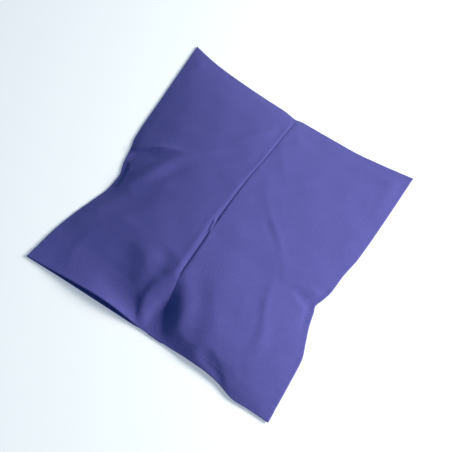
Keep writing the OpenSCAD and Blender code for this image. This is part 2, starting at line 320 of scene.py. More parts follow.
def puckers(x, y, s, t):
    """Small puckers of the front along its seams."""
    down_side, down_end = stitched_waves(x, y)
    down_side = down_side * (1 - smooth(0, 7, (1 - s) * EDGE_W))
    down_end = down_end * (1 - smooth(0, 7, (1 - t) * EDGE_L))
    beside_seam = (1 - smooth(0, 5, s * EDGE_W)) * smooth(0, 0.6, s * EDGE_W)
    down_seam = np.sin(y / 1.6 + 2.0 * np.sin(y / 11)) * beside_seam
    return 0.12 * down_side + 0.12 * down_end + 0.08 * down_seam


def softly_above(z):
    """z where it is well above 0, and easing to 0 below that."""
    return np.where(z > 1, z, np.where(z < -1, 0, (z + 1) ** 2 / 4))


def crown(side, s, t):
    """The plain crown of the fill, above the edge."""
    # The right half stays full for longer towards the mouth.
    power = 3 + 2.2 * smooth(0, 0.35, s) * smooth(0, -0.5, t) * (side == RIGHT)
    fullness = (1 - np.abs(t) ** power) * (1 - 0.2 * t)
    # The shoulders meet along the seam.
    shoulder = SHOULDER[side] + (SHOULDER[LEFT] - SHOULDER[side]) * smooth(0.5, 0, s)
    lifted = shoulder * (1 - s**7) * (1 - np.abs(t) ** 8)
    return lifted + (CROWN - shoulder) * 0.97 * fullness * (1 - s ** HOLD[side])


def front_z(side, s, t, x, y):
    """Height of the front's outer face."""
    inner = smooth(1.0, 0.93, s) * smooth(1.0, 0.95, np.abs(t))
    # Left of the seam the fill runs out towards a gaping mouth, and right of it the cloth slopes all the
    # way down to the mouth's edge.
    lift = smooth(-0.54, -1.0, t)
    gaping = (EDGE_Z + crown(side, s, t)) * (1 - lift) + MOUTH_Z(x) * lift
    sloping = EDGE_Z + crown(side, s, t) + (MOUTH_Z(x) - EDGE_Z) * lift
    z = gaping + (sloping - gaping) * smooth(0, 22, x)
    side_folds = sum(fold(x, y, *shape) for shape in SIDE_FOLDS)
    z = z + gather(x, y) + side_folds * inner + undulation(x, y) * inner * smooth(0, 0.05, s)
    # Close to the centre seam each panel turns down into it: the left one over a wide strip in the
    # lower part, and the right one steeply.
    centre = np.abs(x - SEAM_X(y))
    width = 2.2 + 3.0 * smooth(40, -30, y) if side == LEFT else 1.7 + 0.6 * smooth(20, -60, y)
    depth = (0.5 + 0.7 * smooth(50, -20, y)) * smooth(104, 96, y) * smooth(-68, -60, y)
    depth = depth * (1 if side == LEFT else 0.6)
    z = z - depth * (1 - np.clip(centre / width, 0, 1)) ** 1.5
    z = z + fold(x, y, [(-3.5, -10), (-2.2, -14), (-1.6, -20), (-1.0, -25)], 0.9, 1.6, 1.6, 0.3, 0.3)
    z = z + puckers(x, y, s, t)
    # The outermost cloth rolls over into the edge seams.
    inside = smooth(1.0, 0.88, s) * smooth(1.0, 0.88, t)
    floor = EDGE_Z + (FLAT_STACK - EDGE_Z) * inside
    floor = floor + (MOUTH_Z(x) - floor) * smooth(-0.93, -1.0, t)
    z = floor + softly_above(z - floor)
    roll = 1.1
    for edge in ((1 - s) * EDGE_W, (1 - t) * EDGE_L):
        over = 1 - np.clip(edge / roll, 0, 1)
        z = z - 0.55 * (1 - np.sqrt(1 - over**2 * 0.999)) * smooth(-1.0, -0.97, t)
    return z


def sculpted(side, s, t):
    x, y = plan(side, s, t)
    # The mouth's edge is drawn back where it gapes.
    back = 0.34 * (MOUTH_Z(x) - 2.2) * smooth(-0.8, -1.0, t)
    return xyz(x, y + back, front_z(side, s, t, x, y))


def cover_z(x, y):
    """Height of the front's outer face at any place of the plan."""
    heights = [front_z(side, *shares(side, x, y), x, y) for side in SIDES]
    return np.where(x < SEAM_X(y), *heights)


# ---- the drape of the front, by cloth simulation ----

DRAPE_STEPS = (97, 101)     # points across and along the simulated cloth
DRAPE_FRAMES = 26
DRAPE_GROWTH = 0.004        # spare cloth, as a share of its length
DRAPE_CAP = 0.6             # the furthest that the simulation may move a point
DRAPE_SCALE = 10.0          # the simulation runs this much larger, where its collisions are exact
DRAPE_GAP = 0.45            # the cloth starts this far above what holds it up


def make_object(name, vertices, faces, uvs=None, values=None):
    mesh = bpy.data.meshes.new(name)
    mesh.from_pydata((np.asarray(vertices) * MM).tolist(), [], np.asarray(faces, dtype=object).tolist())
    mesh.validate()
    mesh.polygons.foreach_set("use_smooth", [True] * len(mesh.polygons))
    if uvs is not None:
        layer = mesh.uv_layers.new(name="cloth")
        index = np.zeros(len(mesh.loops), np.int32)
        mesh.loops.foreach_get("vertex_index", index)
        layer.data.foreach_set("uv", (np.asarray(uvs)[index] * MM).astype(np.float32).ravel())
    for key, value in (values or {}).items():
        attribute = mesh.attributes.new(key, "FLOAT", "POINT")
        attribute.data.foreach_set("value", np.asarray(value, np.float32).ravel())
    obj = bpy.data.objects.new(name, mesh)
    bpy.context.scene.collection.objects.link(obj)
    return obj


def grid_faces(rows, cols, offset=0, flip=False):
    a = (offset + np.arange(rows * cols).reshape(rows, cols))[:-1, :-1].ravel()
    quads = np.stack([a, a + 1, a + cols + 1, a + cols], axis=-1)
    return quads[:, ::-1] if flip else quads


def simulate_drape():
    """Lets the front, as cloth a little too large for its outline, settle on a fixed support. Returns
    how far each point of a regular grid over both panels moved."""
    u, t = np.meshgrid(np.linspace(-1, 1, DRAPE_STEPS[0]), np.linspace(-1, 1, DRAPE_STEPS[1]))
    rest = np.where((u < 0)[..., None], sculpted(LEFT, np.abs(u), t), sculpted(RIGHT, np.abs(u), t))
    points, faces = rest.reshape(-1, 3), grid_faces(*u.shape)
    support = make_object("drape_support", (points - [0, 0, DRAPE_GAP]) * DRAPE_SCALE, faces)
    support.modifiers.new("collision", "COLLISION")
    support.collision.thickness_outer = 0.001
    support.collision.cloth_friction = 12
    cloth = make_object("drape_work", points * DRAPE_SCALE, faces)
    held = np.maximum.reduce([
        smooth(0.88, 0.98, np.abs(u)), smooth(0.88, 0.96, np.abs(t)), smooth(0.06, 0.01, np.abs(u)),
        smooth(5.5, 3.5, rest[..., 2]),
        smooth(13, 6, np.abs(rest[..., 0] - SEAM_X(rest[..., 1]))) * smooth(-62, -72, rest[..., 1]),
    ])
    group = cloth.vertex_groups.new(name="held")
    for i, weight in enumerate(held.ravel()):
        group.add([i], float(weight), "REPLACE")
    modifier = cloth.modifiers.new("cloth", "CLOTH")
    settings = {"quality": 7, "mass": 0.3, "tension_stiffness": 20, "compression_stiffness": 20,
                "shear_stiffness": 8, "bending_stiffness": 2.5, "air_damping": 4,
                "shrink_min": -DRAPE_GROWTH, "vertex_group_mass": "held"}
    for key, value in settings.items():
        setattr(modifier.settings, key, value)
    modifier.collision_settings.distance_min = 0.002
    modifier.collision_settings.use_self_collision = False
    modifier.point_cache.frame_end = DRAPE_FRAMES
    scene = bpy.context.scene
    for number in range(1, DRAPE_FRAMES + 1):
        scene.frame_set(number)
    settled = cloth.evaluated_get(bpy.context.evaluated_depsgraph_get()).data
    moved = np.zeros(rest.size, np.float32)
    settled.vertices.foreach_get("co", moved)
    moved = moved.reshape(rest.shape) / MM / DRAPE_SCALE - rest
    scene.frame_set(1)
    for obj in (cloth, support):
        bpy.data.objects.remove(obj, do_unlink=True)
    for _ in range(2):
        for axis in (0, 1):
            moved = (np.roll(moved, 1, axis) + 2 * moved + np.roll(moved, -1, axis)) / 4
    length = np.linalg.norm(moved, axis=-1, keepdims=True)
    moved = moved * DRAPE_CAP * np.tanh(length / DRAPE_CAP) / np.maximum(length, 1e-9)
    return moved * (1 - held)[..., None]


drape = simulate_drape()


def blend_weights(u):
    """Weights of four neighbouring points for a smooth curve through the middle two."""
    return [(-u**3 + 2 * u**2 - u) / 2, (3 * u**3 - 5 * u**2 + 2) / 2, (-3 * u**3 + 4 * u**2 + u) / 2,
            (u**3 - u**2) / 2]


def draped(side, s, t):
    """How far the simulation moved the front at shares s and t."""
    rows, cols = drape.shape[:2]
    c, r = (side * s + 1) / 2 * (cols - 1), (t + 1) / 2 * (rows - 1)
    c0, r0 = np.clip(c.astype(int), 0, cols - 2), np.clip(r.astype(int), 0, rows - 2)
    moved = np.zeros((*np.shape(c), 3))
    for i, down in enumerate(blend_weights(r - r0)):
        for j, across in enumerate(blend_weights(c - c0)):
            near = drape[np.clip(r0 + i - 1, 0, rows - 1), np.clip(c0 + j - 1, 0, cols - 1)]
            moved = moved + (down * across)[..., None] * near
    return moved


def front(side, s, t):
    """The front's outer face, draped."""
    return sculpted(side, s, t) + draped(side, s, t)


def front_normal(side, s, t):
    step = 0.004
    inner, outer = (front(side, np.clip(s + move, 0, 1), t) for move in (-step, step))
    near, far = (front(side, s, np.clip(t + move, -1, 1)) for move in (-step, step))
    return unit(np.cross(outer - inner, far - near) * side)


# ---- sheets ----

def grid_normals(points):
    return unit(np.cross(np.gradient(points, axis=1), np.gradient(points, axis=0)))


def closed_between(top, low, flip):
    """Vertices and faces of a closed body between two grids of points."""
    rows, cols = top.shape[:2]
    n = rows * cols
    index = np.arange(n).reshape(rows, cols)
    ring = np.concatenate([index[0], index[1:, -1], index[-1, -2::-1], index[-2:0:-1, 0]])
    following = np.roll(ring, -1)
    edge = np.stack([ring, ring + n, following + n, following], axis=-1)
    faces = np.concatenate([grid_faces(rows, cols, 0, flip), grid_faces(rows, cols, n, not flip),
                            edge[:, ::-1] if flip else edge])
    return np.concatenate([top.reshape(-1, 3), low.reshape(-1, 3)]), faces


def shell(name, outer, thickness, uv, flip, values=None):
    """A sheet of cloth from a grid of points on its outer face. uv holds each point's place on the flat
    cloth, and flip turns the outer face over."""
    inner = outer - grid_normals(outer) * thickness * (-1 if flip else 1)
    vertices, faces = closed_between(outer, inner, flip)
    doubled = {key: np.concatenate([np.ravel(value)] * 2) for key, value in (values or {}).items()}
    return make_object(name, vertices, faces, np.concatenate([uv.reshape(-1, 2)] * 2), doubled)


# Sections of the turned edges, from the raw edge round the bend to the open cloth. Each point is its
# distance from the bend, how deep the outer face lies there, and which way that face looks (1 is out).
SEAM_TURN = [(6.0, 1.15, -1), (4.4, 1.15, -1), (2.8, 1.15, -1), (1.5, 1.14, -1), (0.75, 1.08, -1),
             (0.3, 0.95, -0.6), (0.08, 0.72, -0.2), (0.01, 0.42, 0), (0.03, 0.2, 0.4), (0.12, 0.06, 0.8),
             (0.35, 0.0, 1)]
HEM_TURN = [(1.6, 0.48, 1), (3.6, 0.48, 1), (6.0, 0.48, 1), (8.2, 0.48, 1), (8.75, 0.56, 0.5),
            (9.0, 0.94, 0), (8.75, 1.32, -0.5), (8.2, 1.4, -1), (6.0, 1.4, -1), (3.6, 1.4, -1),
            (1.4, 1.4, -1), (0.5, 1.32, -0.7), (0.1, 1.06, -0.3), (0.0, 0.7, 0), (0.1, 0.34, 0.3),
            (0.4, 0.08, 0.8), (0.8, 0.0, 1)]
HEM_LAYERS = max(depth for _, depth, _ in HEM_TURN)
HALF_W, HALF_L = 108.0, 112.0    # mean half width and half length, to turn lengths into shares


def edge_steps(first, last, step):
    """Distances from an edge that start close together and open up to step."""
    out, gap = [first], 0.35
    while out[-1] < last:
        out.append(out[-1] + gap)
        gap = min(gap * 1.25, step)
    return out


def finer(steps, reach):
    """Rising steps, with one more in the middle of each gap that is nearer than reach."""
    middles = (steps[1:] + steps[:-1]) / 2
    return np.sort(np.concatenate([steps, middles[middles < reach]]))


def whole_steps(width, first, last, step):
    """Shares of both half widths, closer together at the sides and near the fold."""
    lines = [0] + [width - d for d in edge_steps(first, last, step)][::-1] + [width]
    half = finer(np.array(lines), FOLD_HALF + 2) / width
    return np.concatenate([-half[:0:-1], half])


def panel_steps(turn, length, step, fold_reach=0.0):
    """Distance from the bend, depth, facing and place on the flat cloth of every line of a panel."""
    near = edge_steps(turn[-1][0] + 0.3, length / 2, step)
    far = [length - d for d in [0] + edge_steps(0.25, length - near[-1] - step, step)][::-1]
    open_cloth = finer(np.array(near + far), fold_reach)
    distance, depth, facing = np.array(turn).T
    turned = np.concatenate([[0], np.cumsum(np.hypot(np.diff(distance), np.diff(depth)))])
    pairs = ((distance, open_cloth), (depth, 0 * open_cloth), (facing, 0 * open_cloth + 1),
             (turned, turned[-1] + open_cloth - distance[-1]))
    return [np.concatenate(pair) for pair in pairs]


def front_panel(side):
    across, seam_depth, _, flat_x = panel_steps(SEAM_TURN, HALF_W, 1.15, FOLD_HALF + 2)
    length, hem_depth, hem_facing, flat_y = panel_steps(HEM_TURN, 2 * HALF_L, 1.15)
    s, t = np.meshgrid(across / HALF_W, length / HALF_L - 1)
    turned_rows = (np.arange(len(length)) < len(HEM_TURN) - 2)[:, None]
    seam_share = np.where(turned_rows, 0.4 * hem_facing[:, None], 1)
    depth = hem_depth[:, None] + seam_depth * seam_share
    outer = front(side, s, t) - front_normal(side, s, t) * depth[..., None]
    # The topstitches pull a slight furrow into the hem.
    from_row = length[:, None] - HEM_ROW
    outer[..., 2] -= np.where(turned_rows, 0, 0.03 * peak(from_row, 0.8))
    uv = np.stack(np.meshgrid(side * flat_x, flat_y), axis=-1)
    wear = np.maximum.reduce([peak(s * HALF_W, 0.8), peak((t + 1) * HALF_L, 0.8),
                              peak((1 - s) * HALF_W, 1.0), peak((1 - t) * HALF_L, 1.0)])
    return shell("cover_front_" + NAMES[side], outer, CLOTH, uv, side == LEFT, {"wear": wear})


def underside(x, y):
    """Height of the back panel's outer face: it lies on the floor, and lifts a little between seeds."""
    lift = 0.28 + 0.16 * np.sin(x / 13.7 + 1.1 * np.sin(y / 17.0)) + 0.12 * np.sin(y / 11.3 + x / 29.0)
    return np.clip(lift, 0, 1) * smooth(112, 92, np.abs(x)) * smooth(112, 94, np.abs(y))


def back_panel():
    length, hem_depth, _, flat_y = panel_steps(HEM_TURN, 2 * HALF_L, 1.6)
    u, t = np.meshgrid(whole_steps(HALF_W, 0.25, HALF_W - 1.6, 1.6), length / HALF_L - 1)
    x, y = whole_plan(u, t)
    edge = np.maximum(smooth(0.99, 1.0, np.abs(u)), smooth(0.99, 1.0, t))
    down_side, down_end = stitched_waves(x, y)
    ripple = 0.1 * (down_end * smooth(0.93, 1.0, t) + down_side * smooth(0.93, 1.0, np.abs(u)))
    z = BACK_REST + underside(x, y) + ripple * 0.5 + CLOTH * edge + hem_depth[:, None]
    # The back's hem shows under the front's where that gapes on the left, and hides elsewhere.
    shown = (0.4 - 1.2 * smooth(-12, 4, x)) * smooth(-0.9, -1.0, t)
    outer = xyz(x, y - shown, z)
    uv = np.stack([u * HALF_W, np.broadcast_to(flat_y[:, None], u.shape)], axis=-1)
    wear = np.maximum(peak((1 - np.abs(u)) * HALF_W, 1.0), peak((1 + t) * HALF_L, 0.8))
    return shell("cover_back", outer, CLOTH, uv, True, {"wear": wear})


# ---- threads ----

def tube_faces(first, ring, stations):
    """Faces of a closed tube of rings of vertices, the first of which starts at vertex first."""
    faces = []
    for k in range(stations - 1):
        for j in range(ring):
            a, b = first + k * ring + j, first + k * ring + (j + 1) % ring
            faces.append((a, b, b + ring, a + ring))
    last = first + (stations - 1) * ring
    return faces + [tuple(range(first + ring - 1, first - 1, -1)), tuple(range(last, last + ring))]


def stitches(name, path, normals, sink=0.5, lift=0.42):
    """A row of stitches, one to each step of path, and none where it jumps to a new row. Each is a
    twisted thread that bows up out of the cloth between two holes."""
    normals = np.broadcast_to(normals, path.shape)
    ring, stations = 8, 7
    angles = np.arange(ring) * 2 * math.pi / ring
    vertices, faces, uvs = [], [], []
    for i in range(len(path) - 1):
        if np.linalg.norm(path[i + 1] - path[i]) > 2 * PITCH:
            continue
        run = (path[i + 1] - path[i]) * STITCH / PITCH
        up = unit(normals[i] - run * (normals[i] @ run) / (run @ run))
        beside = unit(np.cross(run, up))
        faces += tube_faces(len(vertices), ring, stations)
        for v in np.linspace(0, 1, stations):
            ends = abs(2 * v - 1) ** 3
            centre = path[i] + run * v + up * THREAD * (lift - ends * (lift + sink))
            radius = THREAD / 2 * (1 - 0.25 * ends)
            for angle in angles:
                vertices.append(centre + radius * (math.cos(angle) * beside + math.sin(angle) * up))
                uvs.append((v * STITCH, angle / (2 * math.pi)))
    return make_object(name, vertices, faces, uvs)


def steps_of(length):
    return np.arange(0, max(int(length / PITCH), 1) + 1) * PITCH


def front_row(side, s, t, depth=0.0):
    """Points and normals on the front's outer face, or under it by depth."""
    s, t = np.broadcast_arrays(np.asarray(s, float), np.asarray(t, float))
    normals = front_normal(side, s, t)
    return front(side, s, t) - normals * depth, normals


HEM_ROW = HEM - 1.2             # the hems' stitches run this far from the mouth's edge
SEAM_ROW, SEAM_ROW_Z = 0.9, 0.62    # and the edge seams' this far in, and this high up


def hem_shares():
    """Where the hem's stitches start, as shares of a panel."""
    return (4.5 + steps_of(HALF_W - 7.5)) / HALF_W, HEM_ROW / HALF_L - 1


def front_hem_thread(side):
    return stitches("front_hem_stitches_" + NAMES[side], *front_row(side, *hem_shares()), lift=-0.15)


def back_hem_thread(side):
    x, y = plan(side, *hem_shares())
    z = BACK_REST + underside(x, y) + HEM_LAYERS
    return stitches("back_hem_stitches_" + NAMES[side], xyz(x, y, z), (0.0, 0.0, 1.0))


def centre_seam_thread():
    t = (14 + steps_of(2 * HALF_L - 28)) / HALF_L - 1
    return stitches("centre_seam_stitches", *front_row(RIGHT, 0 * t, t, 1.0), 0.1)


def side_seam_thread(side):
    t = (6 + steps_of(2 * HALF_L - 12)) / HALF_L - 1
    x, y = plan(side, 1 - SEAM_ROW / HALF_W, t)
    return stitches("side_seam_stitches_" + NAMES[side], xyz(x, y, SEAM_ROW_Z), (side, 0.0, 0.0), 0.1)


def far_seam_thread(side):
    s = (2.5 + steps_of(HALF_W - 8)) / HALF_W
    x, y = plan(side, s, 1 - SEAM_ROW / HALF_L)
    return stitches("far_seam_stitches_" + NAMES[side], xyz(x, y, SEAM_ROW_Z), (0.0, 1.0, 0.0), 0.1)


# ---- the pouch and its fill ----

POUCH_W, POUCH_L = 98.0, 101.0   # mean half width and half length of the pouch


def pouch_floor(x, y):
    """Height of the pouch's underside, just above the back panel."""
    return BACK_REST + underside(x, y) + CLOTH + 0.12


def rim(s, t):
    """How far a sewn-in layer has risen at shares s and t, from nothing at its own edge."""
    return (1 - s**7) * (1 - np.abs(t) ** 7)


def pouch_z(side, x, y):
    """Height of the pouch's upper face."""
    s, t = shares(side, x, y, POUCH_INSET + POUCH_SEAM)
    base = pouch_floor(x, y) + 2 * MUSLIN + 0.1
    room = np.maximum(cover_z(x, y) - SLACK - base, 0)
    return base + POUCH_SHARE * room * rim(s, t)


def pouch_grid():
    """The plan of the pouch, and how close each place is to its stitched edge."""
    ends = np.array([0] + edge_steps(0.6, POUCH_L - 2, 1.8)) / POUCH_L
    u, t = np.meshgrid(whole_steps(POUCH_W, 0.6, POUCH_W - 4, 1.7),
                       np.concatenate([ends - 1, (1 - ends)[::-1]]))
    x, y = whole_plan(u, t, POUCH_INSET)
    from_edge = np.minimum((1 - np.abs(u)) * POUCH_W, (1 - np.abs(t)) * POUCH_L)
    return x, y, from_edge


def crimp(x, y, from_edge):
    """The waviness of the pouch's stitched edge."""
    wave = np.sin(x / 1.5 + 1.3 * np.sin(y / 9)) * np.sin(y / 1.6 + 1.4 * np.sin(x / 8))
    return 0.15 * wave * (1 - smooth(POUCH_SEAM, POUCH_SEAM + 5, from_edge))


def pouch_top():
    x, y, from_edge = pouch_grid()
    z = np.where(x < SEAM_X(y), pouch_z(LEFT, x, y), pouch_z(RIGHT, x, y))
    seam = peak(from_edge - POUCH_SEAM, 0.6)
    lively = 0.35 * undulation(1.7 * x, 1.7 * y) * smooth(POUCH_SEAM, POUCH_SEAM + 12, from_edge)
    z = z + crimp(x, y, from_edge) + 0.2 + lively - 0.1 * seam
    return shell("pouch_upper_cloth", xyz(x, y, z), MUSLIN, np.stack([x, y], axis=-1), False)


def pouch_bottom():
    x, y, from_edge = pouch_grid()
    z = pouch_floor(x, y) + np.maximum(crimp(x, y, from_edge), -0.05)
    return shell("pouch_lower_cloth", xyz(x, y, z), MUSLIN, np.stack([x, y], axis=-1), True)


def pouch_edge_thread(side):
    """Three rows, round the edge of one half of the pouch."""
    inset, end_row = POUCH_INSET + POUCH_SEAM, POUCH_W - 2
    rows = [plan(side, 1.0, (6 + steps_of(2 * POUCH_W - 12)) / POUCH_W - 1, inset)]
    for end in (-1.0, 1.0):
        rows.append(plan(side, (14 + steps_of(end_row - 24)) / end_row, end, inset))
    x, y = (np.concatenate(row) for row in zip(*rows))
    return stitches("pouch_edge_stitches_" + NAMES[side], xyz(x, y, pouch_z(side, x, y) + 0.3),
                    (0.0, 0.0, 1.0))


def seed_floor(x, y):
    return pouch_floor(x, y) + MUSLIN + 0.15


def seed_z(side, x, y):
    s, t = shares(side, x, y, POUCH_INSET + SEED_INSET)
    room = np.maximum(pouch_z(side, x, y) - MUSLIN - seed_floor(x, y) - 0.9, 0)
    return seed_floor(x, y) + 0.25 + SEED_SHARE * room * rim(s, t)


def flaxseed(side, rng):
    """The fill: a body of packed seeds with the outermost ones lying loose on it."""
    steps = (1 - np.cos(np.linspace(0, math.pi, 56))) / 2
    s, t = np.meshgrid(steps, -np.cos(np.linspace(0, math.pi, 96)))
    s, t = s * (1 - SEED_CORNER * t**8), t * (1 - SEED_CORNER * s**8)
    x, y = plan(side, s, t, POUCH_INSET + SEED_INSET)
    # The two halves meet on the fold line.
    x = side * np.maximum(side * (x - SEAM_X(y) * (1 - s)), 0.05)
    floor = seed_floor(x, y)
    height = np.maximum(seed_z(side, x, y) - SEED_SUNK, floor + 0.1)
    body, body_faces = closed_between(xyz(x, y, height), xyz(x, y, floor), side == LEFT)
    seeds, seed_faces, tone = loose_seeds(side, rng)
    vertices = np.concatenate([body, seeds])
    faces = np.concatenate([body_faces, seed_faces + len(body)])
    # The packed body takes a dark tone under the loose seeds: painted shade in the gaps between them.
    tones = np.concatenate([np.full(len(body), 0.15), tone])
    return make_object("seed_fill_" + NAMES[side], vertices, faces, vertices[:, :2], {"tone": tones})


def seed_shape():
    """One flaxseed: a flat drop with both ends drawn to a point, as a closed ring of quads."""
    around = np.arange(6) * math.pi / 3
    sections = [(-2.1, 0.06), (-1.1, 0.9), (0.7, 1.0), (2.2, 0.06)]
    points = [(x, w * math.cos(a), 0.55 * w * math.sin(a)) for x, w in sections for a in around]
    *sides, first, last = tube_faces(0, len(around), len(sections))
    ends = [first[2:], (first[-1], *first[:3]), last[:4], (*last[3:], last[0])]
    return np.array(points), np.array(sides + ends)


def loose_seeds(side, rng):
    shape, shape_faces = seed_shape()
    spacing = 3.0
    x, y = np.meshgrid(np.arange(2.2, 100, spacing), np.arange(-100, 101, spacing * 0.92))
    x = x + (np.arange(x.shape[0]) % 2)[:, None] * spacing / 2
    x, y = x + rng.uniform(-0.5, 0.5, x.shape), y + rng.uniform(-0.5, 0.5, x.shape)
    x = side * x
    inset = POUCH_INSET + SEED_INSET + 2.5
    low, high = ends_y(x, inset)
    inside = (side * x < side * outline_x(side, y, inset)) & (y > low) & (y < high)
    x, y = x[inside], y[inside]
    z = seed_z(side, x, y) - 0.25
    step = 1.0
    slope_x = (seed_z(side, x + step, y) - seed_z(side, x - step, y)) / (2 * step)
    slope_y = (seed_z(side, x, y + step) - seed_z(side, x, y - step)) / (2 * step)
    up = xyz(-slope_x, -slope_y, 1)
    up = unit(up + rng.normal(0, 0.16, up.shape))
    heading = rng.uniform(0, 2 * math.pi, len(x))
    ahead = xyz(np.cos(heading), np.sin(heading), 0)
    ahead = unit(ahead - up * (ahead * up).sum(-1, keepdims=True))
    beside = np.cross(up, ahead)
    size = rng.uniform(0.8, 1.05, len(x))[:, None, None]
    local = shape[None] * size
    points = (xyz(x, y, z)[:, None] + local[..., :1] * ahead[:, None]
              + local[..., 1:2] * beside[:, None] + local[..., 2:] * up[:, None])
    faces = (shape_faces[None] + np.arange(len(x))[:, None, None] * len(shape)).reshape(-1, 4)
    tone = np.repeat(rng.uniform(0.1, 1.0, len(x)), len(shape))
    return points.reshape(-1, 3), faces, tone


def lavender_buds(side, rng):
    """Dried lavender buds on the fullest part of the seeds: ribbed tubes, open at the lip."""
    ring = 15
    profile = [(-1.75, 0.12), (-1.55, 0.42), (-1.0, 0.66), (-0.2, 0.76), (0.6, 0.72), (1.3, 0.6),
               (1.65, 0.66), (1.72, 0.5), (1.3, 0.36), (0.9, 0.05)]
    angles = np.arange(ring) * 2 * math.pi / ring
    vertices, faces, tones = [], [], []
    for i in range(BUDS):
        reach = math.sqrt((i + 0.5) / BUDS)
        s = 0.33 + 0.21 * reach * math.cos(i * GOLDEN)
        t = -0.12 + 0.42 * reach * math.sin(i * GOLDEN)
        x, y = plan(side, s, t, POUCH_INSET + SEED_INSET)
        centre = np.array([x, y, seed_z(side, x, y) + 0.62])
        heading = i * GOLDEN / 2 + rng.uniform(-0.4, 0.4)
        ahead = unit(np.array([math.cos(heading), math.sin(heading), rng.uniform(-0.08, 0.08)]))
        beside = unit(np.cross([0, 0, 1], ahead))
        up = np.cross(ahead, beside)
        size = rng.uniform(0.85, 1.0)
        faces += tube_faces(len(vertices), ring, len(profile))
        for place, radius in profile:
            for angle in angles:
                across = radius * (1 + 0.1 * math.cos(5 * angle)) * size
                vertices.append(centre + ahead * place * size
                                + across * (math.cos(angle) * beside + math.sin(angle) * up))
                tones.append(0.5 + 0.25 * place)
    vertices = np.array(vertices)
    return make_object("lavender_" + NAMES[side], vertices, faces, vertices[:, :2], {"tone": tones})


# ---- materials ----

class Nodes:
    """Short ways to add nodes to a material."""

    def __init__(self, name, roughness, specular=0.3):
        self.material = bpy.data.materials.new(name)
        self.material.use_nodes = True
        self.nodes, self.links = self.material.node_tree.nodes, self.material.node_tree.links
        self.shader = self.nodes["Principled BSDF"]
        self.set({"Roughness": roughness, "Specular IOR Level": specular})

    def set(self, values):
        """Sets the shader's own sockets."""
        for key, value in values.items():
            self.shader.inputs[key].default_value = value

    def add(self, kind, links=None, **settings):
        node = self.nodes.new("ShaderNode" + kind)
        for key, value in settings.items():
            setattr(node, key, value)
        for key, value in (links or {}).items():
            socket = node.inputs[key]
            if isinstance(value, bpy.types.NodeSocket):
                self.links.new(value, socket)
            else:
                socket.default_value = value
        return node

    def math(self, operation, a, b=0.0):
        return self.add("Math", {0: a, 1: b}, operation=operation).outputs[0]

    def plus(self, a, b):
        return self.math("ADD", a, b)

    def minus(self, a, b):
        return self.math("SUBTRACT", a, b)

    def times(self, a, b):
        return self.math("MULTIPLY", a, b)

    def weighted(self, *terms):
        """The sum of values, each times its weight."""
        total, *rest = [self.times(value, weight) for value, weight in terms]
        for term in rest:
            total = self.plus(total, term)
        return total

    def uv(self):
        """The two places on the flat cloth, in metres."""
        split = self.add("SeparateXYZ", {0: self.add("UVMap", uv_map="cloth").outputs[0]})
        return split.outputs[0], split.outputs[1]

    def attribute(self, name):
        return self.add("Attribute", attribute_name=name).outputs["Fac"]

    def vector(self, x, y, z=0.0):
        return self.add("CombineXYZ", {0: x, 1: y, 2: z}).outputs[0]

    def noise(self, vector, scale, detail=2.0, roughness=0.5):
        return self.add("TexNoise", {"Vector": vector, "Scale": scale, "Detail": detail,
                                     "Roughness": roughness}).outputs["Fac"]

    def wave(self, place, half_length):
        return self.math("SINE", self.times(place, math.pi / half_length))

    def colour(self, value, stops):
        """The base colour, from a ramp over value."""
        node = self.add("ValToRGB", {0: value})
        elements = node.color_ramp.elements
        while len(elements) < len(stops):
            elements.new(0.5)
        for element, (place, colour) in zip(elements, stops):
            element.position = place
            element.color = (*colour, 1)
        self.links.new(node.outputs[0], self.shader.inputs["Base Color"])

    def bump(self, height, distance, strength=1.0):
        node = self.add("Bump", {"Height": height, "Distance": distance, "Strength": strength})
        self.links.new(node.outputs[0], self.shader.inputs["Normal"])

    def sheen(self, weight, roughness, tint):
        self.set({"Sheen Weight": weight, "Sheen Roughness": roughness, "Sheen Tint": (*tint, 1)})


def weave(m, pitch):
    """Plain weave: the height of the yarns, which yarn is on top (1 or -1), and its slubs."""
    u, v = m.uv()
    drift = m.noise(m.vector(u, v), 60.0, 1.0)
    u = m.plus(u, m.times(drift, pitch * 0.8))
    cell = m.times(m.wave(u, pitch), m.wave(v, pitch))
    height = m.math("POWER", m.math("ABSOLUTE", cell), 0.6)
    along_u = m.noise(m.vector(m.times(u, 120.0), m.times(v, 2200.0)), 1.0, 2.0)
    along_v = m.noise(m.vector(m.times(u, 2200.0), m.times(v, 120.0)), 1.0, 2.0)
    slubs = m.times(m.plus(along_u, along_v), 0.5)
    return u, v, height, m.math("SIGN", cell), slubs


def make_cover_cloth():
    m = Nodes("cover_cloth", 0.82, 0.22)
    u, v, height, over, slubs = weave(m, 0.00046)
    # Fine ribs run across the cloth where its weft lies a little slack, most of all beside the lower
    # half of the centre seam.
    place = m.vector(u, v)
    patches = m.math("MAXIMUM", m.minus(m.noise(place, 20.0, 1.0), 0.46), 0.03)
    away = [m.math("POWER", m.math("DIVIDE", m.minus(along, middle), reach), 2.0)
            for along, middle, reach in ((u, 0.034, 0.030), (v, 0.082, 0.030))]
    slack = m.math("MAXIMUM", m.minus(1.0, m.plus(*away)), 0.0)
    ribs = m.times(m.wave(v, 0.00092), m.plus(patches, m.times(slack, 0.3)))
    m.bump(m.weighted((height, 0.6), (ribs, 1.7), (slubs, 0.9)), 0.00016, 0.8)
    # Shade: uneven dye, slubs, one yarn system a touch lighter, and edges rubbed paler.
    mottle = m.minus(m.noise(place, 34.0, 4.0, 0.6), 0.5)
    shade = m.weighted((mottle, 0.22), (over, 0.035), (m.minus(slubs, 0.5), 0.5),
                       (m.attribute("wear"), 0.16))
    m.colour(m.plus(shade, 0.5), [(0.2, (0.086, 0.077, 0.300)), (0.5, (0.112, 0.101, 0.372)),
                                  (0.8, (0.140, 0.128, 0.440))])
    m.sheen(0.18, 0.45, (0.75, 0.75, 1.0))
    return m.material


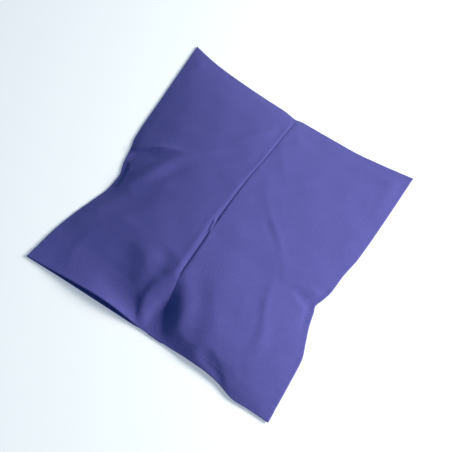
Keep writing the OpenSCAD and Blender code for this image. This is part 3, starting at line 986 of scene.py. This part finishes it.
def make_thread(name, dark, light):
    m = Nodes(name, 0.6, 0.35)
    u, v = m.uv()
    twist = m.math("SINE", m.plus(m.times(u, 2 * math.pi / 0.0007), m.times(v, 2 * math.pi / MM)))
    # The colour follows the twist: painted shade in the grooves between the plies, and painted highlight
    # on their crests.
    m.colour(m.plus(m.times(twist, 0.5), 0.5), [(0.0, dark), (1.0, light)])
    m.bump(twist, 0.00006, 0.8)
    m.sheen(0.15, 0.4, (1.0, 1.0, 1.0))
    return m.material


def make_pouch_cloth():
    m = Nodes("pouch_cloth", 0.88, 0.2)
    u, v, height, _, slubs = weave(m, 0.00062)
    m.bump(m.plus(height, m.times(slubs, 1.2)), 0.0002, 0.9)
    # Painted shade darkens the colour in the gaps between the yarns, and a few husks fleck the
    # unbleached cotton.
    flecks = m.math("GREATER_THAN", m.noise(m.vector(u, v), 900.0, 1.0), 0.74)
    m.colour(m.weighted((height, 0.7), (slubs, 0.4), (flecks, -0.6)),
             [(0.0, (0.34, 0.27, 0.17)), (0.35, (0.66, 0.59, 0.46)), (0.9, (0.82, 0.77, 0.66))])
    m.sheen(0.12, 0.5, (1.0, 0.97, 0.9))
    return m.material


def speckled(m, scale, strength):
    """A fine speckle, and each piece's tone with that speckle over it; the dark tone of the seeds'
    packed body is painted shade.
    """
    speckle = m.noise(m.vector(*m.uv()), scale, 3.0)
    return speckle, m.plus(m.attribute("tone"), m.times(m.minus(speckle, 0.5), strength))


def make_flaxseed():
    m = Nodes("flaxseed", 0.28, 0.5)
    speckle, shade = speckled(m, 2600.0, 0.5)
    cells = m.add("TexVoronoi", {"Vector": m.vector(*m.uv()), "Scale": 420.0}, feature="F1")
    # The dark end of the ramp colours the packed body: painted shade between the loose seeds.
    m.colour(shade, [(0.0, (0.055, 0.022, 0.009)), (0.45, (0.17, 0.068, 0.024)),
                     (0.8, (0.30, 0.135, 0.05)), (1.0, (0.45, 0.26, 0.11))])
    m.bump(m.plus(cells.outputs["Distance"], m.times(speckle, 0.15)), 0.0004, 0.5)
    m.set({"Coat Weight": 0.35, "Coat Roughness": 0.2})
    return m.material


def make_lavender():
    m = Nodes("lavender", 0.85, 0.2)
    speckle, shade = speckled(m, 1800.0, 0.7)
    m.colour(shade, [(0.0, (0.19, 0.16, 0.11)), (0.45, (0.20, 0.17, 0.25)), (1.0, (0.34, 0.27, 0.48))])
    m.bump(speckle, 0.0002, 0.7)
    m.sheen(0.3, 0.4, (0.9, 0.85, 1.0))
    return m.material


# ---- camera, light and floor ----

def aimed(name, data, location, direction):
    """A camera or a light at location, looking along direction."""
    obj = bpy.data.objects.new(name, data)
    obj.location = location
    obj.rotation_euler = direction.to_track_quat("-Z", "Y").to_euler()
    bpy.context.scene.collection.objects.link(obj)
    return obj


def make_camera():
    """The camera stands beyond the near right corner and looks steeply down."""
    azimuth, elevation = math.radians(33.844), math.radians(70.0)
    target = Vector((3.66, -6.45, 0.0)) * MM
    distance, focal_share = 557.94 * MM, 1.549
    back = Vector((math.sin(azimuth) * math.cos(elevation), -math.cos(azimuth) * math.cos(elevation),
                   math.sin(elevation)))
    data = bpy.data.cameras.new("camera")
    data.sensor_width = 36
    data.lens = focal_share * data.sensor_width
    data.clip_start, data.clip_end = 0.01, 20
    bpy.context.scene.camera = aimed("camera", data, target + back * distance, -back)


def make_studio():
    scene = bpy.context.scene
    scene.view_settings.view_transform = "Standard"
    scene.world = scene.world or bpy.data.worlds.new("world")
    scene.world.use_nodes = True
    nodes, links = scene.world.node_tree.nodes, scene.world.node_tree.links
    background = nodes["Background"]
    background.inputs["Color"].default_value = (0.25, 0.66, 1.0, 1)
    background.inputs["Strength"].default_value = 0.25
    # The camera sees a pale surround in place of the blue light of the shade.
    surround = nodes.new("ShaderNodeBackground")
    surround.inputs["Color"].default_value = (0.86, 0.89, 0.93, 1)
    choose = nodes.new("ShaderNodeMixShader")
    links.new(nodes.new("ShaderNodeLightPath").outputs["Is Camera Ray"], choose.inputs[0])
    links.new(background.outputs[0], choose.inputs[1])
    links.new(surround.outputs[0], choose.inputs[2])
    links.new(choose.outputs[0], nodes["World Output"].inputs[0])
    key = bpy.data.lights.new("key", "AREA")
    key.energy, key.size, key.color = 16.6, 0.45, (0.98, 0.96, 0.91)
    place = Vector((0.78, 0.46, 0.56))
    aimed("key", key, place, -place)
    half, drop = 3000.0, -0.3
    corners = [(-half, -half, drop), (half, -half, drop), (half, half, drop), (-half, half, drop)]
    floor = make_object("floor", corners, [(0, 1, 2, 3)])
    m = Nodes("floor", 0.7)
    m.set({"Base Color": (0.93, 0.93, 0.93, 1), "Emission Color": (1.0, 0.97, 0.95, 1),
           "Emission Strength": 0.3})
    floor.data.materials.append(m.material)


make_camera()
make_studio()

# ---- pieces, their materials, and the parts of the CAD model that they stand for ----

rng = np.random.default_rng(7)
MATERIALS = {
    "cover_cloth": make_cover_cloth(),
    "cover_thread": make_thread("cover_thread", (0.088, 0.080, 0.30), (0.155, 0.142, 0.48)),
    "pouch_cloth": make_pouch_cloth(),
    "pouch_thread": make_thread("pouch_thread", (0.62, 0.57, 0.46), (0.88, 0.85, 0.77)),
    "flaxseed": make_flaxseed(),
    "lavender": make_lavender(),
}


def finished(piece, slot, *nodes):
    piece.data.materials.append(MATERIALS[slot])
    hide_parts(*nodes)
    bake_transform(piece)
    return piece


top = finished(pouch_top(), "pouch_cloth", "pouch_top_left", "pouch_top_right")
bottom = finished(pouch_bottom(), "pouch_cloth", "pouch_bottom_left", "pouch_bottom_right")
back = finished(back_panel(), "cover_cloth", "back_panel_left", "back_panel_right")
for side in SIDES:
    name = NAMES[side]
    finished(front_panel(side), "cover_cloth", "front_panel_" + name)
    for thread, node in ((front_hem_thread, "front_hem_thread_"), (back_hem_thread, "back_hem_thread_"),
                         (side_seam_thread, "side_seam_thread_"), (far_seam_thread, "far_seam_thread_")):
        finished(thread(side), "cover_thread", node + name)
    finished(pouch_edge_thread(side), "pouch_thread", "pouch_edge_thread_" + name)
    finished(flaxseed(side, rng), "flaxseed", "flaxseed_" + name)
    finished(lavender_buds(side, rng), "lavender", "lavender_buds_" + name)
finished(centre_seam_thread(), "cover_thread", "centre_seam_thread")
